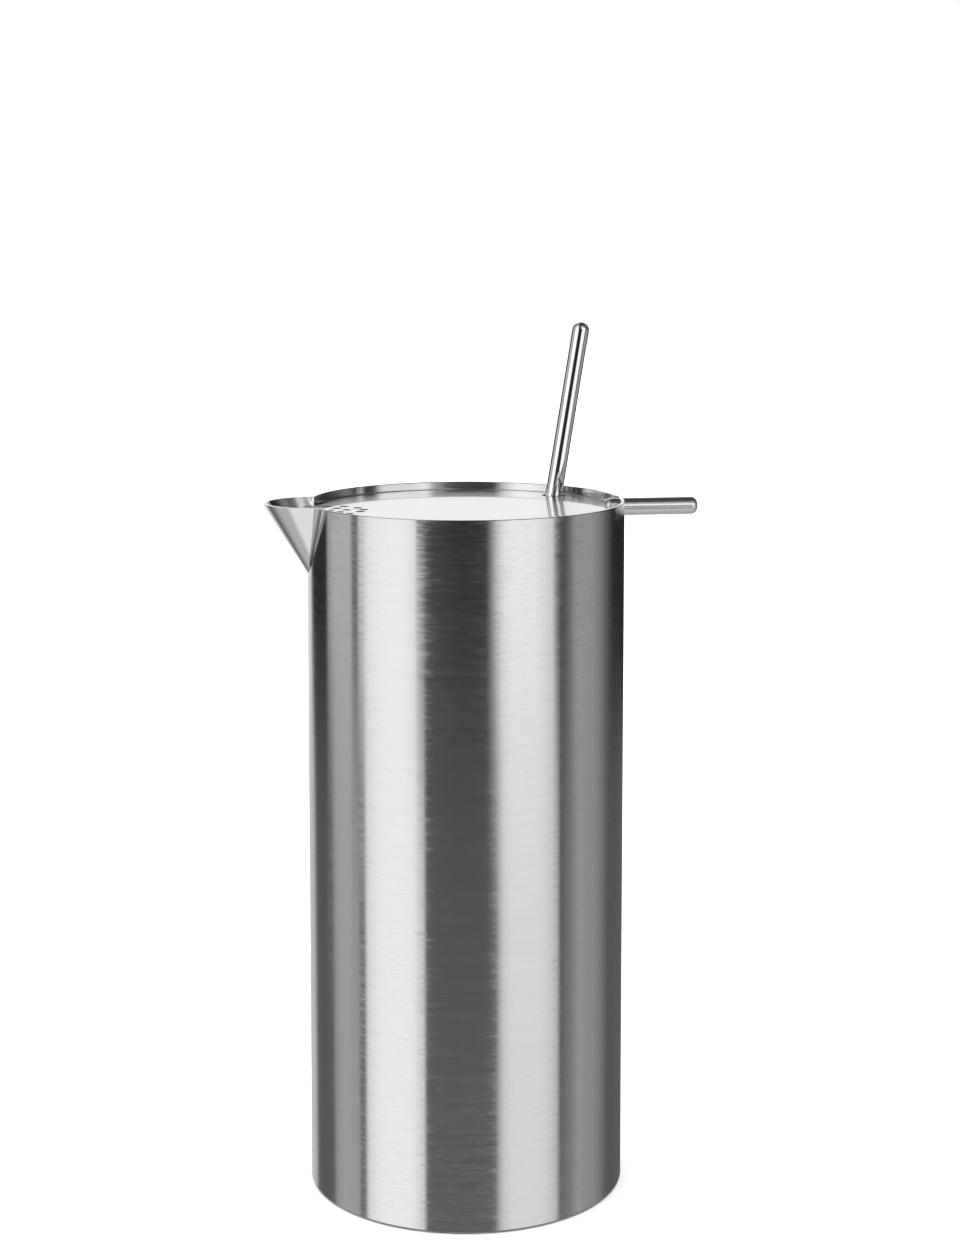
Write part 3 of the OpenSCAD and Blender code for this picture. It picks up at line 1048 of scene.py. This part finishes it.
@dataclass(frozen=True)
class Studio:
    """Soft light from a dome of strips and flags.

    A range is where something eases in: elevations, or for the sides of the overhead flag, of the lighter
    table at the left and of the back light how far they lie from its middle. The turns slant the strips.
    """

    camera_turn: float = -98.0
    flag: float = 0.02
    low_flag: float = 0.13
    low_range: Point = (-10, -13.5)
    over_range: Point = (-3, 5)
    high_range: Point = (25, 31)
    turns: tuple[tuple[float, Point], ...] = ((5.8, (-9.5, -14)), (7.0, (-4, 5)))
    boxes: tuple[SoftBox, ...] = (SoftBox(27, 8, 14, 32, 2.3), SoftBox(15, 4, 32, 56, 1.6))
    ceiling: float = 0.32
    ceiling_range: Point = (50, 62)
    overhead_flag: float = 0.06
    overhead_way: Point = (-0.139, 0.99)
    overhead_middle: float = 0.21
    overhead_range: Point = (0.3, 0.45)
    table: float = 0.53
    table_range: Point = (-28, -46)
    table_left: float = 0.93
    table_left_middle: float = -32.0
    table_left_range: Point = (40, 60)
    back: float = 1.02
    back_range: Point = (140, 165)
    back_ends: Point = (2, 30)
    back_feathers: Point = (2, 6)
    strips: tuple[Strip, ...] = (
        Strip(-200, -150, 0.8, 2, 5, (0.74, 1, 1, 1)),
        Strip(-119, -90, 0.45, 2, 1.5, (0.77, 1, 1, 1)),
        Strip(-115, -90, 0.15, 7, 1.5, (0.65, 1, 1, 1)),
        Strip(-83.5, -35.5, 0.88, 1, 1, (1, 1, 0, 1)),
        Strip(-80, -40, 0.32, 16, 9, (1, 1, 0, 1)),
        Strip(-83.5, -33, 1.1, 1, 6, (0, 0, 1, 0)),
        Strip(-68, -42, 0.5, 14, 6, (0, 0, 1, 0)),
        Strip(-36, -12, 0.035, 2, 10, (1, 1, 0, 0)),
        Strip(17.5, 44, 0.81, 4, 2, (0.86, 1, 0, 0)),
        Strip(23, 44, 0.43, 6, 2, (0.6, 1, 0, 0)),
        Strip(44, 65.5, 0.8, 2, 1.5, (0.88, 1, 0, 0)),
        Strip(44, 58, 0.42, 2, 10, (0.6, 1, 0, 0)),
        Strip(20, 64, 1.2, 5, 5, (0, 0, 1, 0)),
        Strip(66, 78, 0.12, 2, 5, (1, 0.15, 0, 0)),
        Strip(70, 88, 0.1, 3, 6, (1, 0.2, 0, 0)),
        Strip(80, 116, 0.41, 7, 20, (0.85, 1, 0.18, 0.3)),
        Strip(91, 103, 0.14, 3, 8, (0, 0, 1, 0)),
        Strip(30, 52.5, 0.85, 2, 6, (0, 0, 0, 1)),
        Strip(54, 100, 0.12, 6, 10, (0, 0, 0, 1)),
    )

    def light(self) -> None:
        """Builds the dome. What the camera sees of it directly is plain white."""
        world = bpy.data.worlds.new("studio")
        bpy.context.scene.world = world
        world.use_nodes = True
        w = Wiring(world.node_tree)
        turn = (0.0, 0.0, math.radians(-self.camera_turn))
        ahead = w.add("Mapping", {"Vector": w.add("TexCoord").outputs["Generated"], "Rotation": turn})
        x, y, z = w.add("SeparateXYZ", {0: ahead.outputs[0]}).outputs
        elevation = w.math("DEGREES", w.math("ARCSINE", z))
        true_azimuth = azimuth = w.math("DEGREES", w.math("ARCTAN2", y, x))
        for turned_by, ends in self.turns:
            azimuth = w.math("SUBTRACT", azimuth, w.ramp(elevation, *ends, 0, turned_by, True))
        level = self._strip_light(w, azimuth, elevation)
        for box in self.boxes:
            aside = w.apart(true_azimuth, box.middle)
            mask = w.times(w.ease(aside, box.half_width + box.feather, box.half_width),
                           w.band(elevation, box.low, box.high, box.end_feather, box.end_feather))
            level = w.blend(mask, level, box.brightness)

        across, along = self.overhead_way
        aside = w.apart(w.math("MULTIPLY_ADD", y, along, w.times(x, across)), self.overhead_middle)
        overhead = w.ramp(aside, *self.overhead_range, self.overhead_flag, self.ceiling, True)
        level = w.blend(w.ease(elevation, *self.ceiling_range), level, overhead)
        aside = w.apart(azimuth, self.table_left_middle)
        table = w.ramp(aside, *self.table_left_range, self.table_left, self.table, True)
        level = w.blend(w.ease(elevation, *self.table_range), level, table)
        behind = w.times(w.ease(w.math("ABSOLUTE", azimuth), *self.back_range),
                         w.band(elevation, *self.back_ends, *self.back_feathers))
        level = w.blend(behind, level, self.back)

        level = w.blend(w.add("LightPath").outputs["Is Camera Ray"], level, 1.0)
        colour = w.add("CombineColor", {0: level, 1: level, 2: level})
        glow = w.add("Background", {"Color": colour.outputs[0]})
        w.add("OutputWorld", {"Surface": glow.outputs[0]})
        LOG.info("studio: %d strips", len(self.strips))

    def _strip_light(self, w: Wiring, azimuth: Any, elevation: Any) -> bpy.types.NodeSocket:
        """Adds up the strips over the flags.

        Args:
            w: The world's tree.
            azimuth: Angle round the object, slanted.
            elevation: Angle above the level.

        Returns:
            The light's level.
        """
        low, high = w.ease(elevation, *self.low_range), w.ease(elevation, *self.high_range)
        over = w.math("SUBTRACT", w.ease(elevation, *self.over_range), high)
        level: Any = self.flag
        for strip in self.strips:
            near, at_level, *above = (strip.brightness * share for share in strip.shares)
            bright: Any = at_level
            for zone, part in zip((low, over, high), (near, *above)):
                if part != at_level:
                    bright = w.math("MULTIPLY_ADD", zone, part - at_level, bright)
            mask = w.band(azimuth, strip.start, strip.end, strip.start_feather, strip.end_feather)
            level = w.math("MULTIPLY_ADD", mask, bright, level)
        return w.math("MAXIMUM", level, w.times(low, self.low_flag))


@dataclass(frozen=True)
class Floor:
    """The plain pale floor, and the soft light that brightens it alone. Lengths are in metres."""

    half_size: float = 4.0
    drop: float = 0.0002
    tones: Point = (0.88, 0.9)
    grain: float = 40.0
    light_height: float = 1.5
    light_angle: float = 100.0
    light_strength: float = 4.6

    def lay(self) -> None:
        """Lays the floor and hangs its light."""
        bm = bmesh.new()
        bmesh.ops.create_grid(bm, x_segments=1, y_segments=1, size=self.half_size)
        bmesh.ops.translate(bm, vec=(0, 0, -self.drop), verts=bm.verts[:])
        plane = Blank("floor", bm).piece
        pale = bpy.data.materials.new("pale floor")
        pale.use_nodes = True
        w = Wiring(pale.node_tree)
        place = w.add("TexCoord").outputs["Object"]
        grain = w.add("TexNoise", {"Vector": place, "Scale": self.grain, "Detail": 3.0})
        tone = w.ramp(grain.outputs["Fac"], 0.3, 0.7, *self.tones)
        colour = w.add("CombineColor", {0: tone, 1: tone, 2: tone})
        shader = w.add("BsdfDiffuse", {"Color": colour.outputs[0]})
        w.add("OutputMaterial", {"Surface": shader.outputs[0]})
        plane.data.materials.append(pale)
        plane.visible_glossy = False
        lit = bpy.data.collections.new("floor only")
        lit.objects.link(plane)
        lamp = bpy.data.lights.new("floor light", "SUN")
        lamp.angle, lamp.energy = math.radians(self.light_angle), self.light_strength
        light = bpy.data.objects.new("floor light", lamp)
        light.location = (0, 0, self.light_height)
        light.light_linking.receiver_collection = lit
        bpy.context.scene.collection.objects.link(light)


@dataclass(frozen=True)
class PhotoCamera:
    """The camera at the photograph's place, in millimetres and degrees."""

    turn: float = 8.0
    distance: float = 677.5
    height: float = 281.5
    pitch: float = 6.385
    yaw: float = 0.3413
    lens: float = 69.0
    sensor: float = 36.0
    shift: float = -0.125
    clip: Point = (10.0, 50000.0)

    def set_up(self) -> None:
        """Creates the camera and makes it the scene's."""
        data = bpy.data.cameras.new("camera")
        data.lens, data.sensor_width, data.shift_y = self.lens, self.sensor, self.shift
        data.clip_start, data.clip_end = (reach * MM for reach in self.clip)
        camera = bpy.data.objects.new("camera", data)
        turn, heading = math.radians(self.turn), math.radians(self.turn + self.yaw)
        x, y = -math.sin(turn) * self.distance, -math.cos(turn) * self.distance
        camera.location = Vector((x, y, self.height)) * MM
        camera.rotation_euler = (math.pi / 2 - math.radians(self.pitch), 0.0, -heading)
        bpy.context.scene.collection.objects.link(camera)
        bpy.context.scene.camera = camera


def main() -> None:
    """Builds the pitcher, its studio and its camera, and reports each piece."""
    logging.basicConfig(level=logging.INFO, format="%(name)s: %(message)s")
    bpy.context.scene.view_settings.view_transform = "Standard"
    PhotoCamera().set_up()
    Studio().light()
    Floor().lay()
    effects = Effects()
    jug = Jug()
    lid = StrainerLid(jug)
    spoon = MixingSpoon(jug, lid)

    brushed = SteelFinish(
        "brushed steel", tone=0.68, roughness=0.145, anisotropy=0.92, line_pitch=0.4, line_length=12.0,
        line_depth=0.004, tone_spread=0.02, rubbed=0.0, scratches=0.085, inside=jug.radius - jug.wall / 2,
        inside_roughness=0.11, foot=jug.foot_bevel).material(effects)
    spouted = SteelFinish(
        "brushed steel of the spout", tone=0.7, roughness=0.2, anisotropy=0.6, line_pitch=0.35,
        line_length=10.0, line_depth=0.0005, tone_spread=0.02, turned_about=jug.cone.axis).material(effects)
    brazed = SteelFinish(
        "brazed steel", tone=0.42, roughness=0.22, streak_roughness=0.03, anisotropy=0.2, line_pitch=0.6,
        line_length=3.0, line_depth=0.004, tone_spread=0.03, marks=0.03).material(effects)
    satin = SteelFinish(
        "satin steel", tone=0.72, roughness=0.22, streak_roughness=0.01, anisotropy=0.94, line_pitch=0.25,
        turned_about=lid.peg_lie).material(effects)
    polished = SteelFinish(
        "polished steel of the lid", tone=0.8, roughness=0.33, line_length=16.0, tone_spread=0.006, gloss=1.0,
        rubbed=0.0, punched=lid.radius - lid.sheet - lid.hole_margin).material(effects)
    mirror = SteelFinish(
        "polished steel of the spoon", tone=0.78, roughness=0.045, streak_roughness=0.005,
        turned_about=spoon.stand).material(effects)

    dress(jug.body_wall(), brushed, Body.JUG, "body_wall")
    dress(jug.base_pan(), brushed, Body.JUG, "base_pan")
    dress(jug.spout(), spouted, Body.JUG, "spout")
    dress(jug.spout_seam(), brazed, Body.JUG, "spout_seam")
    dress(jug.seat_ring(), brushed, Body.JUG, "seat_ring")
    dress(lid.strainer_lid(), polished, Body.LID, "strainer_lid")
    dress(lid.lid_peg(), satin, Body.LID, "lid_peg")
    dress(spoon.spoon_stem(), mirror, Body.SPOON, "spoon_stem")
    dress(spoon.spoon_bowl(), mirror, Body.SPOON, "spoon_bowl")


if __name__ == "__main__":
    main()
